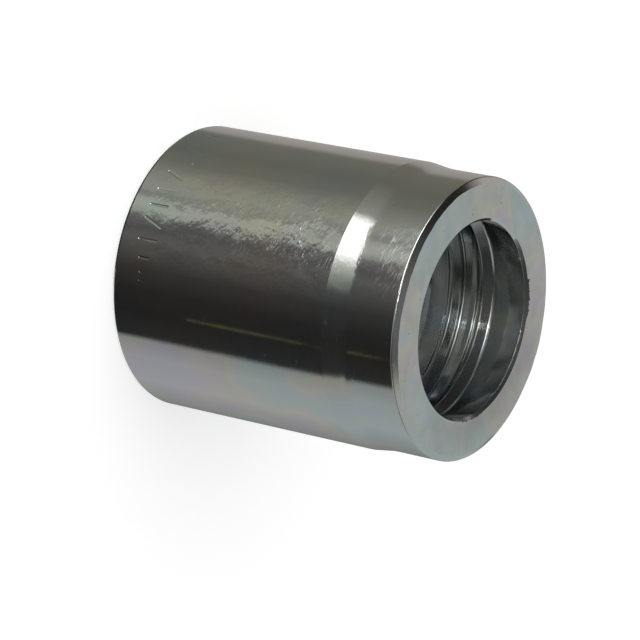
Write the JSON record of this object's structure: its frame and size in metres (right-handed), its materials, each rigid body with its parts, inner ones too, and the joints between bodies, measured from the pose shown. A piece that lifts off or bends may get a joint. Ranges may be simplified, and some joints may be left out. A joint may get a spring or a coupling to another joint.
{
  "type": "crimp hose ferrule",
  "caption": "Turned steel sleeve with a stepped collar, a stem bore and a ridged hose socket, crimped over a hydraulic hose and its fitting stem.",
  "frame": {"origin": "centre of the hose end, on the axis", "axes": "+Z along the axis, from the hose end out of the collar; the part stands on its hose end"},
  "size_m": [0.03, 0.03, 0.0348],
  "materials": {
    "zinc_steel": "bright zinc plate on turned steel, polished body and satin collar face"
  },
  "bodies": {
    "root": {"ferrule": "zinc_steel"}
  },
  "joints": []
}
